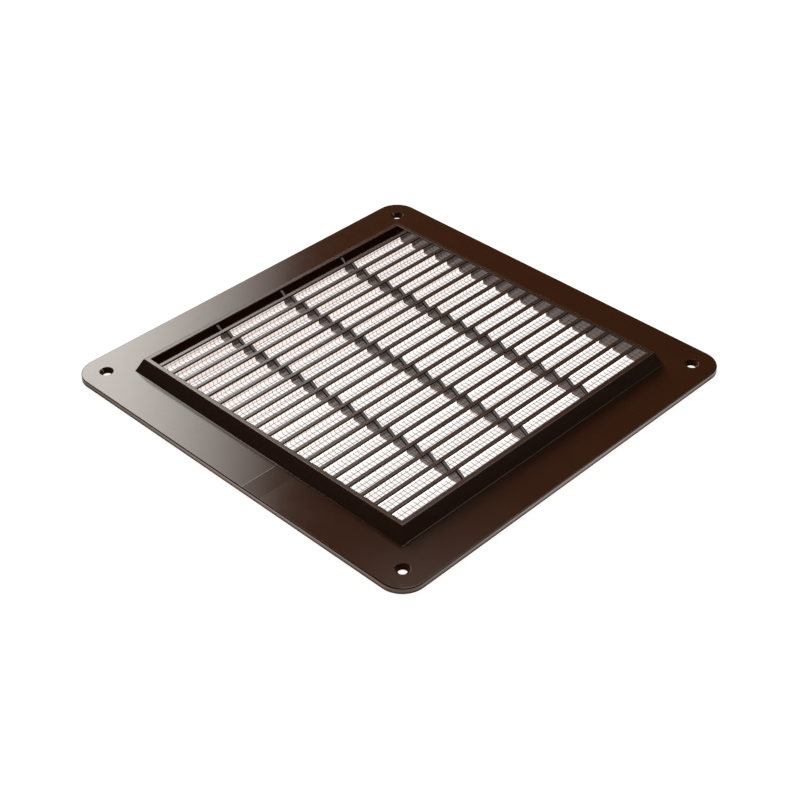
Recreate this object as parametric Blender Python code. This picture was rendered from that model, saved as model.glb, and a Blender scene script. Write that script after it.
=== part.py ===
"""Square moulded ventilation grille with fixed rain louvres and an insect net.

The grille hangs on a wall by four countersunk screws. It is one plastic moulding, with
a net staked to its back. Lengths are in metres and angles in radians.

Frame: the origin is the middle of the back, on the wall's surface. +Z points away from
the wall, +Y is up and X runs along the louvres.
"""

import math

import bmesh
import bpy
from mathutils import Vector
from mathutils.geometry import intersect_line_line_2d

# Flange: the flat plate round the rim, and the low skirt on which it stands
FLANGE_SIDE = 0.200
FLANGE_LAND = 0.0195
FLANGE_CORNER_RADIUS = 0.0108
FLANGE_WALL = 0.0020
FLANGE_EDGE_ROUND = 0.0005
SKIRT_DEPTH = 0.0007
SKIRT_WALL = 0.0018

# Rim: the raised square collar, with outer faces that slope and inner faces with draft
RIM_HEIGHT = 0.0063
RIM_BAND = 0.0023
RIM_SLOPE = math.radians(26.0)
RIM_EDGE_ROUND = 0.0004
OPENING_DRAFT = math.radians(1.0)

# Louvres: slats whose front edges are lower than their backs, so that rain runs out
SLAT_COUNT = 19
TOP_GAP = 0.0054
SLAT_SETBACK = 0.0002
SLAT_NOSE = 0.0018
SLAT_NOSE_ROUND = 0.0006
SLAT_TAIL = 0.0017
SLAT_LEAN = math.radians(34.0)
LOUVRE_CLEARANCE = 0.0010

# Cross ribs: webs that run square to the slats and tie them together
RIB_COUNT = 3
RIB_WIDTH = 0.0021
RIB_DRAFT = math.radians(1.0)
RIB_EDGE_ROUND = 0.0004

# Countersunk screw holes in the flange's corners
HOLE_INSET = 0.0108
HOLE_DIAMETER = 0.0037
COUNTERSINK_DIAMETER = 0.0062
COUNTERSINK_ANGLE = math.radians(90.0)

# Insect net: two layers of crossing threads in a flat welded border
NET_PITCH_X = 0.00222
NET_PITCH_Y = 0.00237
NET_THREAD = 0.00015
NET_LAYER_GAP = 0.00002
NET_BORDER = 0.0038
NET_SEAT_GAP = 0.00025
NET_EDGE_GAP = 0.0004

# Heat stakes: pins of the moulding that hold the net's border under their heads
STAKES_PER_SIDE = 4
STAKE_DIAMETER = 0.0014
STAKE_HEAD_DIAMETER = 0.0027
STAKE_HEAD_THICKNESS = 0.0003
STAKE_HEAD_RECESS = 0.0001

# Facets of the round forms
CORNER_SEGMENTS = 12
EDGE_SEGMENTS = 2
NOSE_SEGMENTS = 5
HOLE_SEGMENTS = 28
STAKE_SEGMENTS = 10
SMOOTH_ANGLE = math.radians(35.0)

# How far a cutter runs past the face that it cuts
CUT_MARGIN = 0.002

# Materials: colour, roughness
PLASTIC = ((0.045, 0.020, 0.012, 1.0), 0.30)
YARN = ((0.030, 0.018, 0.014, 1.0), 0.55)

# Places that follow from the sizes above. Heights are above the wall.
FLANGE_TOP = SKIRT_DEPTH + FLANGE_WALL
RIM_TOP = FLANGE_TOP + RIM_HEIGHT
RIM_OUTER_HALF = FLANGE_SIDE / 2 - FLANGE_LAND - RIM_HEIGHT * math.tan(RIM_SLOPE)
OPENING_HALF = RIM_OUTER_HALF - RIM_BAND
NET_THICKNESS = 2 * NET_THREAD + 3 * NET_LAYER_GAP
STAKE_HEAD_TOP = STAKE_HEAD_RECESS + STAKE_HEAD_THICKNESS
NET_BACK = STAKE_HEAD_TOP + NET_SEAT_GAP
POCKET_FLOOR = NET_BACK + NET_THICKNESS + NET_SEAT_GAP
LOUVRE_BACK = POCKET_FLOOR + LOUVRE_CLEARANCE
LOUVRE_FRONT = RIM_TOP - SLAT_SETBACK
SLAT_PITCH = (2 * OPENING_HALF - TOP_GAP) / SLAT_COUNT
RIB_PITCH = (2 * OPENING_HALF + RIM_BAND) / (RIB_COUNT + 1)
LOUVRE_HALF_SPAN = OPENING_HALF + RIM_BAND / 2
NET_SEAT_HALF = OPENING_HALF + (RIM_TOP - POCKET_FLOOR) * math.tan(OPENING_DRAFT) + NET_EDGE_GAP
NET_HALF = NET_SEAT_HALF + NET_BORDER
STAKE_LINE_HALF = NET_SEAT_HALF + NET_BORDER / 2


def square(half, height):
    """Four corners of a square ring, counter-clockwise seen from the front."""
    return [Vector((x * half, y * half, height)) for x, y in ((1, 1), (-1, 1), (-1, -1), (1, -1))]


def rounded_square(half, radius, height):
    """Points of a square ring with round corners, counter-clockwise seen from the front."""
    points = []
    for corner, (side_x, side_y) in enumerate(((1, 1), (-1, 1), (-1, -1), (1, -1))):
        centre = Vector((side_x * (half - radius), side_y * (half - radius), height))
        for step in range(CORNER_SEGMENTS + 1):
            angle = (corner + step / CORNER_SEGMENTS) * math.pi / 2
            points.append(centre + Vector((math.cos(angle), math.sin(angle), 0)) * radius)
    return points


def circle(radius, height, segments, centre=(0.0, 0.0)):
    """Points of a round ring, counter-clockwise seen from the front."""
    turn = 2 * math.pi / segments
    return [
        Vector((centre[0] + radius * math.cos(i * turn), centre[1] + radius * math.sin(i * turn), height))
        for i in range(segments)
    ]


def loft(bm, rings, closed=False):
    """Skin a row of rings with quads, and cap the ends unless the row closes on itself."""
    loops = [[bm.verts.new(point) for point in ring] for ring in rings]
    pairs = list(zip(loops, loops[1:]))
    if closed:
        pairs.append((loops[-1], loops[0]))
    for lower, upper in pairs:
        for i in range(len(lower)):
            j = (i + 1) % len(lower)
            bm.faces.new((lower[i], lower[j], upper[j], upper[i]))
    if not closed:
        bm.faces.new(loops[0][::-1])
        bm.faces.new(loops[-1])


def to_object(bm, name):
    """Turn a mesh under construction into a smooth-shaded object with its faces outwards."""
    bmesh.ops.recalc_face_normals(bm, faces=bm.faces)
    mesh = bpy.data.meshes.new(name)
    bm.to_mesh(mesh)
    bm.free()
    mesh.shade_smooth()
    mesh.set_sharp_from_angle(angle=SMOOTH_ANGLE)
    obj = bpy.data.objects.new(name, mesh)
    bpy.context.scene.collection.objects.link(obj)
    return obj


def combine(target, tool, operation):
    """Join a tool solid to the target or cut it away, and keep the tool as a guide."""
    modifier = target.modifiers.new(tool.name, "BOOLEAN")
    modifier.operation = operation
    modifier.solver = "EXACT"
    modifier.object = tool
    tool.hide_render = True
    tool.display_type = "WIRE"
    tool.parent = target


def round_edges(bm, edges, radius):
    """Round sharp edges with a bevel."""
    bmesh.ops.bevel(
        bm, geom=edges, offset=radius, segments=EDGE_SEGMENTS, profile=0.5, affect="EDGES", clamp_overlap=True
    )


def edges_at(bm, height):
    """Edges that lie wholly at one height."""
    return [e for e in bm.edges if all(math.isclose(v.co.z, height, abs_tol=1e-7) for v in e.verts)]


def make_flange():
    """The plate's solid outline, with its front edge rounded."""
    bm = bmesh.new()
    outline = [(FLANGE_SIDE / 2, FLANGE_CORNER_RADIUS, height) for height in (0.0, FLANGE_TOP)]
    loft(bm, [rounded_square(*level) for level in outline])
    round_edges(bm, edges_at(bm, FLANGE_TOP), FLANGE_EDGE_ROUND)
    return to_object(bm, "grille_body")


def make_skirt_hollow():
    """Cutter for the flat hollow inside the skirt, behind the plate."""
    bm = bmesh.new()
    half = FLANGE_SIDE / 2 - SKIRT_WALL
    radius = FLANGE_CORNER_RADIUS - SKIRT_WALL
    loft(bm, [rounded_square(half, radius, height) for height in (-CUT_MARGIN, SKIRT_DEPTH)])
    return to_object(bm, "skirt_hollow")


def make_rim():
    """The collar as a solid block that narrows towards the front."""
    bm = bmesh.new()
    root = FLANGE_TOP - FLANGE_WALL / 2
    loft(bm, [square(RIM_OUTER_HALF + (RIM_TOP - height) * math.tan(RIM_SLOPE), height)
              for height in (root, RIM_TOP)])
    round_edges(bm, edges_at(bm, RIM_TOP), RIM_EDGE_ROUND)
    return to_object(bm, "rim_block")


def make_opening():
    """Cutter for the opening, with draft towards the back and a rounded front edge."""
    bm = bmesh.new()
    depths = [RIM_TOP + CUT_MARGIN, RIM_EDGE_ROUND]
    levels = [(OPENING_HALF + depth * math.tan(OPENING_DRAFT), RIM_TOP - depth) for depth in depths]
    for step in range(1, EDGE_SEGMENTS + 1):
        angle = step / EDGE_SEGMENTS * math.pi / 2
        levels.append((OPENING_HALF + RIM_EDGE_ROUND * (1 - math.cos(angle)),
                       RIM_TOP - RIM_EDGE_ROUND * (1 - math.sin(angle))))
    levels.append((OPENING_HALF + RIM_EDGE_ROUND, RIM_TOP + CUT_MARGIN))
    loft(bm, [square(half, height) for half, height in levels])
    return to_object(bm, "opening")


def make_net_pocket():
    """Cutter for the shallow pocket round the opening's back, where the net lies."""
    bm = bmesh.new()
    loft(bm, [square(NET_HALF + NET_EDGE_GAP, height) for height in (-CUT_MARGIN, POCKET_FLOOR)])
    return to_object(bm, "net_pocket")


def slat_profile():
    """Slat outline across the louvre, as (up, out) points from its front top edge.

    The front is flat, then rounds over into the underside, which leans back and up. The
    upper face leans a little less, so the slat thins towards its back.
    """
    back = LOUVRE_BACK - LOUVRE_FRONT
    centre = Vector((SLAT_NOSE_ROUND - SLAT_NOSE, -SLAT_NOSE_ROUND))
    points = [Vector((0.0, 0.0))]
    for step in range(NOSE_SEGMENTS + 1):
        angle = step / NOSE_SEGMENTS * (math.pi / 2 + SLAT_LEAN)
        points.append(centre + Vector((-math.sin(angle), math.cos(angle))) * SLAT_NOSE_ROUND)
    heel = points[-1].x + (points[-1].y - back) * math.tan(SLAT_LEAN)
    points.append(Vector((heel, back)))
    points.append(Vector((heel + SLAT_TAIL, back)))
    return points


def slat_edges():
    """Height on the wall of each slat's front top edge, from the lowest slat up."""
    return [-OPENING_HALF + (i + 1) * SLAT_PITCH for i in range(SLAT_COUNT)]


def make_slats():
    """All slats, each a profile drawn out along X and rooted in both side walls."""
    bm = bmesh.new()
    profile = slat_profile()
    for edge in slat_edges():
        loft(bm, [[Vector((x, edge + up, LOUVRE_FRONT + out)) for up, out in profile]
                  for x in (-LOUVRE_HALF_SPAN, LOUVRE_HALF_SPAN)])
    return to_object(bm, "slats")


def rib_outline():
    """Side view of a cross rib, as (y, z) points.

    Between two slats the rib's front edge starts at the upper slat's nose and runs back
    and down, square to the slats, until it meets the lower slat. Its turning points lie
    inside the slats.
    """
    down_and_back = Vector((-math.cos(SLAT_LEAN), -math.sin(SLAT_LEAN)))
    nose = Vector((SLAT_NOSE_ROUND - SLAT_NOSE, SLAT_NOSE_ROUND * (math.tan(SLAT_LEAN) - 1)))
    tail = slat_profile()[-1]
    reach = down_and_back * SLAT_PITCH * 2
    seat = down_and_back * (SLAT_TAIL / 2)
    root = Vector((OPENING_HALF + RIM_EDGE_ROUND, LOUVRE_FRONT - SLAT_NOSE_ROUND))
    starts = [root]
    points = [Vector((LOUVRE_HALF_SPAN, root.y)), root]
    for edge in reversed(slat_edges()):
        front = Vector((edge, LOUVRE_FRONT))
        met = intersect_line_line_2d(starts[-1], starts[-1] + reach, front, front + tail)
        starts.append(front + nose)
        points += [met + seat, starts[-1]]
    drop = (starts[-1].x + LOUVRE_HALF_SPAN) * math.tan(SLAT_LEAN)
    points.append(Vector((-LOUVRE_HALF_SPAN, starts[-1].y - drop)))
    points.append(Vector((-LOUVRE_HALF_SPAN, LOUVRE_BACK)))
    points.append(Vector((LOUVRE_HALF_SPAN, LOUVRE_BACK)))
    return points


def make_ribs():
    """The cross ribs, evenly spaced, with draft towards the back and rounded front edges."""
    bm = bmesh.new()
    outline = rib_outline()
    for i in range(RIB_COUNT):
        middle = (i + 1 - (RIB_COUNT + 1) / 2) * RIB_PITCH
        rings = []
        for side in (-1, 1):
            rings.append([
                Vector((middle + side * (RIB_WIDTH / 2 - (LOUVRE_FRONT - z) * math.tan(RIB_DRAFT)), y, z))
                for y, z in outline
            ])
        loft(bm, rings)
    fronts = [e for e in bm.edges if is_rib_front(e)]
    round_edges(bm, fronts, RIB_EDGE_ROUND)
    return to_object(bm, "ribs")


def is_rib_front(edge):
    """Whether an edge runs along a rib's side, square to the slats."""
    along = edge.verts[1].co - edge.verts[0].co
    if abs(along.y) < SLAT_NOSE or abs(along.z) < SLAT_NOSE_ROUND:
        return False
    return math.isclose(along.z / along.y, math.tan(SLAT_LEAN), rel_tol=0.01)


def make_countersinks():
    """Cutters for the four screw holes: a round hole that opens out into a cone."""
    bm = bmesh.new()
    hole = HOLE_DIAMETER / 2
    sink = COUNTERSINK_DIAMETER / 2
    slope = math.tan(COUNTERSINK_ANGLE / 2)
    levels = (
        (hole, -CUT_MARGIN),
        (hole, FLANGE_TOP - (sink - hole) / slope),
        (sink, FLANGE_TOP),
        (sink + CUT_MARGIN * slope, FLANGE_TOP + CUT_MARGIN),
    )
    reach = FLANGE_SIDE / 2 - HOLE_INSET
    for side_x in (-1, 1):
        for side_y in (-1, 1):
            loft(bm, [circle(radius, height, HOLE_SEGMENTS, (side_x * reach, side_y * reach))
                      for radius, height in levels])
    return to_object(bm, "countersinks")


def stake_places():
    """Middle of each heat stake, in even rows along the four sides of the net's border."""
    spacing = 2 * STAKE_LINE_HALF / STAKES_PER_SIDE
    along = [(i + 0.5) * spacing - STAKE_LINE_HALF for i in range(STAKES_PER_SIDE)]
    places = []
    for side in (-STAKE_LINE_HALF, STAKE_LINE_HALF):
        places += [(step, side) for step in along]
        places += [(side, step) for step in along]
    return places


def make_stakes():
    """Heat stakes: a pin out of the pocket's floor, melted into a low domed head."""
    bm = bmesh.new()
    pin = STAKE_DIAMETER / 2
    head = STAKE_HEAD_DIAMETER / 2
    crown = STAKE_HEAD_TOP - STAKE_HEAD_THICKNESS
    levels = (
        (head - STAKE_HEAD_THICKNESS, crown),
        (head, STAKE_HEAD_TOP - STAKE_HEAD_THICKNESS / 3),
        (head, STAKE_HEAD_TOP),
        (pin, STAKE_HEAD_TOP),
        (pin, POCKET_FLOOR + FLANGE_WALL / 2),
    )
    for place in stake_places():
        loft(bm, [circle(radius, height, STAKE_SEGMENTS, place) for radius, height in levels])
    return to_object(bm, "stakes")


def make_net():
    """The net, flat on its own base plane: threads both ways, rooted in a square border."""
    bm = bmesh.new()
    loft(bm, [square(NET_HALF, 0.0), square(NET_HALF, NET_THICKNESS),
              square(NET_SEAT_HALF, NET_THICKNESS), square(NET_SEAT_HALF, 0.0)], closed=True)
    net = to_object(bm, "insect_net")
    lower = NET_LAYER_GAP
    upper = lower + NET_THREAD + NET_LAYER_GAP
    combine(net, make_threads("threads_along", NET_PITCH_Y, lower, False), "UNION")
    combine(net, make_threads("threads_across", NET_PITCH_X, upper, True), "UNION")
    combine(net, make_stake_holes(), "DIFFERENCE")
    return net


def make_threads(name, pitch, base, upright):
    """One layer of parallel square threads that end inside the net's border."""
    bm = bmesh.new()
    reach = NET_SEAT_HALF + NET_BORDER / 8
    count = int((NET_SEAT_HALF - pitch / 4) / pitch)
    for i in range(-count, count + 1):
        rings = []
        for end in (-reach, reach):
            ring = []
            for side, rise in ((-1, 0), (1, 0), (1, 1), (-1, 1)):
                across = i * pitch + side * NET_THREAD / 2
                height = base + rise * NET_THREAD
                ring.append(Vector((across, end, height) if upright else (end, across, height)))
            rings.append(ring)
        loft(bm, rings)
    return to_object(bm, name)


def make_stake_holes():
    """Cutters for the holes in the net's border through which the stakes pass."""
    bm = bmesh.new()
    radius = STAKE_DIAMETER / 2 + NET_SEAT_GAP
    for place in stake_places():
        loft(bm, [circle(radius, height, STAKE_SEGMENTS, place)
                  for height in (-CUT_MARGIN, NET_THICKNESS + CUT_MARGIN)])
    return to_object(bm, "stake_holes")


def make_body():
    """The moulding: flange, rim, louvres, ribs, screw holes and stakes in one solid."""
    body = make_flange()
    combine(body, make_rim(), "UNION")
    combine(body, make_skirt_hollow(), "DIFFERENCE")
    combine(body, make_net_pocket(), "DIFFERENCE")
    combine(body, make_opening(), "DIFFERENCE")
    combine(body, make_slats(), "UNION")
    combine(body, make_ribs(), "UNION")
    combine(body, make_countersinks(), "DIFFERENCE")
    combine(body, make_stakes(), "UNION")
    return body


def make_material(name, finish):
    """A plain plastic material of one colour and roughness."""
    colour, roughness = finish
    material = bpy.data.materials.new(name)
    material.use_nodes = True
    shader = material.node_tree.nodes["Principled BSDF"]
    shader.inputs["Base Color"].default_value = colour
    shader.inputs["Roughness"].default_value = roughness
    material.diffuse_color = colour
    return material


def build():
    """Clear the scene and build the grille under one empty."""
    for obj in list(bpy.data.objects):
        bpy.data.objects.remove(obj, do_unlink=True)
    grille = bpy.data.objects.new("ventilation_grille", None)
    bpy.context.scene.collection.objects.link(grille)
    body = make_body()
    body.data.materials.append(make_material("brown_plastic", PLASTIC))
    body.parent = grille
    net = make_net()
    net.data.materials.append(make_material("net_yarn", YARN))
    net.location = (0.0, 0.0, NET_BACK)
    net.parent = grille


build()
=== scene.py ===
"""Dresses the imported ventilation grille: a glossy brown moulding with a woven insect net.

The moulding is made as one frame ring with screw holes, nineteen louvre slats, three cross
ribs and the heat stakes at the back. The net is two sets of woven threads in a pressed
border. Lengths are in metres and angles in radians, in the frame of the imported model: X
runs along the louvres, +Y is up on the wall and +Z points away from the wall.
"""

import logging
import math
from dataclasses import dataclass
from enum import Enum
from functools import reduce

import bmesh
import bpy
import numpy as np
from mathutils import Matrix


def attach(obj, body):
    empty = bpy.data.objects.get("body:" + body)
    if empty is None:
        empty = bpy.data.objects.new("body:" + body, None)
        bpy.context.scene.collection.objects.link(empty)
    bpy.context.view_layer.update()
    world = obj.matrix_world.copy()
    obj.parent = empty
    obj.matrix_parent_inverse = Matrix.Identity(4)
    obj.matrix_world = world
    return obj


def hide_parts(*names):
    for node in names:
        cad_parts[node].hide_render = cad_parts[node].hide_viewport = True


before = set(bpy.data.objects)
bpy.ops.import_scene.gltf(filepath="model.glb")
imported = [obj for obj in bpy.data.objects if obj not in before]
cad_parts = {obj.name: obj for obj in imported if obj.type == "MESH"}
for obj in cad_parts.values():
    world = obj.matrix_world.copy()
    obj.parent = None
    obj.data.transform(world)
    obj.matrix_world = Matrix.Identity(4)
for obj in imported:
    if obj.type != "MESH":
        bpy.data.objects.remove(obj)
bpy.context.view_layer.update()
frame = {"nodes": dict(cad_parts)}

log = logging.getLogger("ventilation_grille")

MM = 0.001
DEGREE = math.radians(1.0)

# Corners of a square of half width 1, anticlockwise
SQUARE = np.array([(1, 1), (-1, 1), (-1, -1), (1, -1)], dtype=float)

Socket = bpy.types.NodeSocket


class Slot(Enum):
    """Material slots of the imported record."""

    PLASTIC = "brown_plastic"
    YARN = "net_yarn"


class Edge(Enum):
    """How the shading treats a piece's edges: the sharpest angle that is still smooth."""

    MOULDED = 32.0 * DEGREE
    ROUND = 80.0 * DEGREE


def fillets(corners: np.ndarray, before: np.ndarray, after: np.ndarray, radii: np.ndarray,
            segments: int) -> tuple[np.ndarray, np.ndarray]:
    """Rounds corners with arcs that touch both sides of each corner.

    A fillet's centre lies on the corner's bisector, at radius / sin(half the corner's
    angle), and its arc runs between the two points where it touches the sides.

    Args:
        corners: Corner points, shape (n, 2).
        before: Unit vectors from the corners along the sides before them, shape (n, 2).
        after: Unit vectors from the corners along the sides after them, shape (n, 2).
        radii: Fillet radius at each corner, shape (n,).
        segments: Steps along each arc.

    Returns:
        The arcs, shape (n, segments + 1, 2), and the distance from each corner to its
        arc's ends, shape (n, 1).
    """
    half = np.arccos(np.clip((before * after).sum(1), -1.0, 1.0)) / 2
    touch = (radii / np.tan(half))[:, None]
    bisector = before + after
    bisector /= np.linalg.norm(bisector, axis=1, keepdims=True)
    centre = corners + bisector * (radii / np.sin(half))[:, None]
    start = corners + before * touch - centre
    end = corners + after * touch - centre
    sweep = (math.pi - 2 * half)[:, None, None]
    step = np.linspace(0.0, 1.0, segments + 1)[None, :, None]
    arc = np.sin((1 - step) * sweep) * start[:, None] + np.sin(step * sweep) * end[:, None]
    return centre[:, None] + arc / np.sin(sweep), touch


def rounded_profile(corners: np.ndarray, radii: np.ndarray, segments: int, support: float) -> np.ndarray:
    """Fillets every corner of a closed polygon and adds a support point beside each fillet.

    Args:
        corners: Polygon corners in order, shape (n, 2).
        radii: Fillet radius at each corner, shape (n,).
        segments: Steps along each arc.
        support: Distance of the support points from the arc's ends, along the sides.

    Returns:
        Points of the filleted outline, shape (n * (segments + 3), 2).
    """
    before = np.roll(corners, 1, axis=0) - corners
    after = np.roll(corners, -1, axis=0) - corners
    before /= np.linalg.norm(before, axis=1, keepdims=True)
    after /= np.linalg.norm(after, axis=1, keepdims=True)
    arcs, touch = fillets(corners, before, after, radii, segments)
    first = (corners + before * (touch + support))[:, None]
    last = (corners + after * (touch + support))[:, None]
    return np.concatenate([first, arcs, last], axis=1).reshape(-1, 2)


def add_object(name: str, data: bpy.types.ID) -> bpy.types.Object:
    """Makes an object of a mesh, lamp or camera and links it to the scene."""
    thing = bpy.data.objects.new(name, data)
    bpy.context.scene.collection.objects.link(thing)
    return thing


def stand(thing: bpy.types.Object, right: np.ndarray, out: np.ndarray, place: np.ndarray) -> None:
    """Puts a camera or lamp in its place, with its X axis along right and its Z axis along out."""
    matrix = np.eye(4)
    matrix[:3, :3] = np.stack([right, np.cross(out, right), out], axis=1)
    matrix[:3, 3] = place
    thing.matrix_world = matrix.T.tolist()


def finish_mesh(mesh: bpy.types.Mesh, edge: Edge) -> None:
    """Turns a closed mesh's faces outwards and sets its smooth shading.

    Args:
        mesh: The mesh to finish.
        edge: Which edges stay sharp.
    """
    bm = bmesh.new()
    bm.from_mesh(mesh)
    bmesh.ops.recalc_face_normals(bm, faces=bm.faces)
    bm.to_mesh(mesh)
    bm.free()
    mesh.shade_smooth()
    mesh.set_sharp_from_angle(angle=edge.value)


def skin(name: str, grids: np.ndarray, ring: bool, edge: Edge) -> bpy.types.Object:
    """Makes one object from a stack of grids, each a closed tube or a closed ring.

    Every grid is a surface of two parameters: u runs along the solid and v runs round its
    closed section. A ring also closes along u. A tube gets a flat cap at each end.

    Args:
        name: The piece's name.
        grids: Points, shape (solids, nu, nv, 3).
        ring: True if the solids close along u.
        edge: Which edges stay sharp.

    Returns:
        The new object, linked to the scene.
    """
    solids, nu, nv, _ = grids.shape
    base = (np.arange(solids) * nu * nv)[:, None, None]
    u = np.arange(nu if ring else nu - 1)[None, :, None]
    v = np.arange(nv)[None, None, :]
    u_next = (u + 1) % nu
    v_next = (v + 1) % nv
    quads = np.stack([
        base + u * nv + v, base + u_next * nv + v, base + u_next * nv + v_next, base + u * nv + v_next,
    ], axis=-1).reshape(-1, 4)
    faces = quads.tolist()
    if not ring:
        first = base[:, 0] + np.arange(nv)[None, :]
        last = first + (nu - 1) * nv
        faces += first.tolist() + last[:, ::-1].tolist()
    mesh = bpy.data.meshes.new(name)
    mesh.from_pydata(grids.reshape(-1, 3), [], faces)
    finish_mesh(mesh, edge)
    return add_object(name, mesh)


def revolve(name: str, profile: np.ndarray, centres: np.ndarray, facets: int, edge: Edge) -> bpy.types.Object:
    """Turns a profile round an upright axis at each of several places.

    The point at angle a is (x + r cos a, y + r sin a, z), with r and z from the profile.
    The profile's end rings get flat caps.

    Args:
        name: The piece's name.
        profile: Radius and height along the profile, shape (n, 2).
        centres: Places of the axes, shape (m, 2).
        facets: Steps round the axis.
        edge: Which edges stay sharp.

    Returns:
        The new object, linked to the scene.
    """
    angle = np.linspace(0.0, 2 * math.pi, facets, endpoint=False)[None, None, :]
    radius = profile[None, :, 0, None]
    shape = (len(centres), len(profile), facets)
    x = centres[:, 0, None, None] + radius * np.cos(angle)
    y = centres[:, 1, None, None] + radius * np.sin(angle)
    z = np.broadcast_to(profile[None, :, 1, None], shape)
    return skin(name, np.stack([x, y, z], axis=-1), ring=False, edge=edge)


@dataclass(frozen=True)
class GrilleSizes:
    """Sizes of the moulding and the net that more than one piece needs."""

    side: float = 200.0 * MM
    land: float = 19.5 * MM
    corner_radius: float = 10.8 * MM
    hole_inset: float = 10.8 * MM
    wall: float = 2.0 * MM
    skirt_depth: float = 0.7 * MM
    skirt_wall: float = 1.8 * MM
    rim_height: float = 6.3 * MM
    rim_band: float = 2.3 * MM
    rim_slope: float = 26.0 * DEGREE
    opening_draft: float = 1.0 * DEGREE
    slat_count: int = 19
    top_gap: float = 5.4 * MM
    slat_setback: float = 0.2 * MM
    slat_nose: float = 1.8 * MM
    slat_nose_round: float = 0.6 * MM
    slat_tail: float = 1.7 * MM
    slat_lean: float = 34.0 * DEGREE
    louvre_clearance: float = 1.0 * MM
    thread: float = 0.15 * MM
    net_layer_gap: float = 0.02 * MM
    net_border: float = 3.8 * MM
    net_seat_gap: float = 0.25 * MM
    net_edge_gap: float = 0.4 * MM
    stake_head: float = 0.3 * MM
    stake_recess: float = 0.1 * MM

    @property
    def flange_top(self) -> float:
        """Height of the flange's front face above the wall."""
        return self.skirt_depth + self.wall

    @property
    def hole_place(self) -> float:
        """Distance of the screw holes from the middle, along X and along Y."""
        return self.side / 2 - self.hole_inset

    @property
    def rim_top(self) -> float:
        """Height of the rim's flat band above the wall."""
        return self.flange_top + self.rim_height

    @property
    def rim_outer_half(self) -> float:
        """Half the rim's width at its front."""
        return self.side / 2 - self.land - self.rim_height * math.tan(self.rim_slope)

    @property
    def opening_half(self) -> float:
        """Half the opening's width at its front."""
        return self.rim_outer_half - self.rim_band

    @property
    def net_thickness(self) -> float:
        """Thickness of the net's border."""
        return 2 * self.thread + 3 * self.net_layer_gap

    @property
    def net_back(self) -> float:
        """Height of the net's back above the wall."""
        return self.stake_recess + self.stake_head + self.net_seat_gap

    @property
    def pocket_floor(self) -> float:
        """Height of the face that the net's border lies against."""
        return self.net_back + self.net_thickness + self.net_seat_gap

    @property
    def net_seat_half(self) -> float:
        """Half the clear width inside the net's border."""
        drafted = (self.rim_top - self.pocket_floor) * math.tan(self.opening_draft)
        return self.opening_half + drafted + self.net_edge_gap

    @property
    def louvre_back(self) -> float:
        """Height of the louvres' back edges above the wall."""
        return self.pocket_floor + self.louvre_clearance

    @property
    def louvre_front(self) -> float:
        """Height of the louvres' front faces above the wall."""
        return self.rim_top - self.slat_setback

    @property
    def slat_depth(self) -> float:
        """Distance from the louvres' front faces to their back edges."""
        return self.louvre_front - self.louvre_back

    @property
    def nose_drop(self) -> float:
        """Distance from a slat's upper front edge down to its nose, as if the nose were sharp."""
        half_corner = (math.pi / 2 - self.slat_lean) / 2
        return self.slat_nose - self.slat_nose_round + self.slat_nose_round / math.tan(half_corner)

    @property
    def slat_heel(self) -> float:
        """Distance from a slat's upper front edge up to its lower back edge."""
        return self.slat_depth * math.tan(self.slat_lean) - self.nose_drop

    @property
    def slat_pitch(self) -> float:
        """Distance from slat to slat."""
        return (2 * self.opening_half - self.top_gap) / self.slat_count

    @property
    def span(self) -> float:
        """Half length of the slats and ribs, with their roots in the rim."""
        return self.opening_half + self.rim_band / 2

    def slat_edges(self) -> np.ndarray:
        """Y of each slat's upper front edge, from the lowest slat up."""
        return -self.opening_half + np.arange(1, self.slat_count + 1) * self.slat_pitch


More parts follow.
